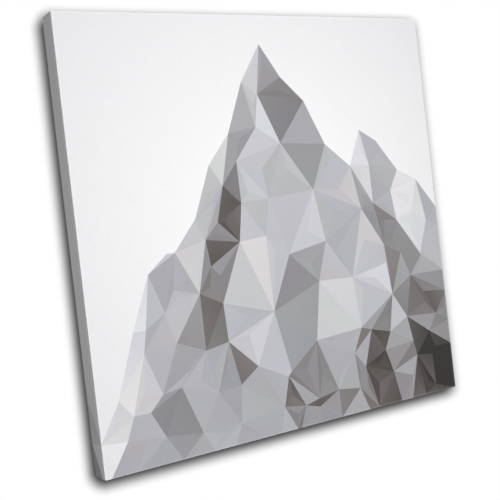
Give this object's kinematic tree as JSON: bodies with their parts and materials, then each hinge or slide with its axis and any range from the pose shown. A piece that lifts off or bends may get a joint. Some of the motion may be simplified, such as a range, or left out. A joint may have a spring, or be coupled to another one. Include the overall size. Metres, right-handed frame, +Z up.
{
  "type": "stretched canvas print",
  "caption": "Square canvas print wrapped over a mitred pine stretcher frame, with its edges printed as a mirror of the picture, made to hang on a wall.",
  "frame": {"origin": "middle of the top turnover's back face, where the picture meets the wall", "axes": "+Y points back into the wall, so the print faces -Y; +Z is up; +X is to the right of someone who looks at the print"},
  "size_m": [0.61, 0.038, 0.61],
  "materials": {
    "printed_canvas": "matt printed cotton and polyester canvas, white at the turnover",
    "raw_pine": "planed, unvarnished"
  },
  "bodies": {
    "root": {"canvas": "printed_canvas", "stretcher_bar_top": "raw_pine", "stretcher_bar_right": "raw_pine", "stretcher_bar_bottom": "raw_pine", "stretcher_bar_left": "raw_pine"}
  },
  "joints": []
}
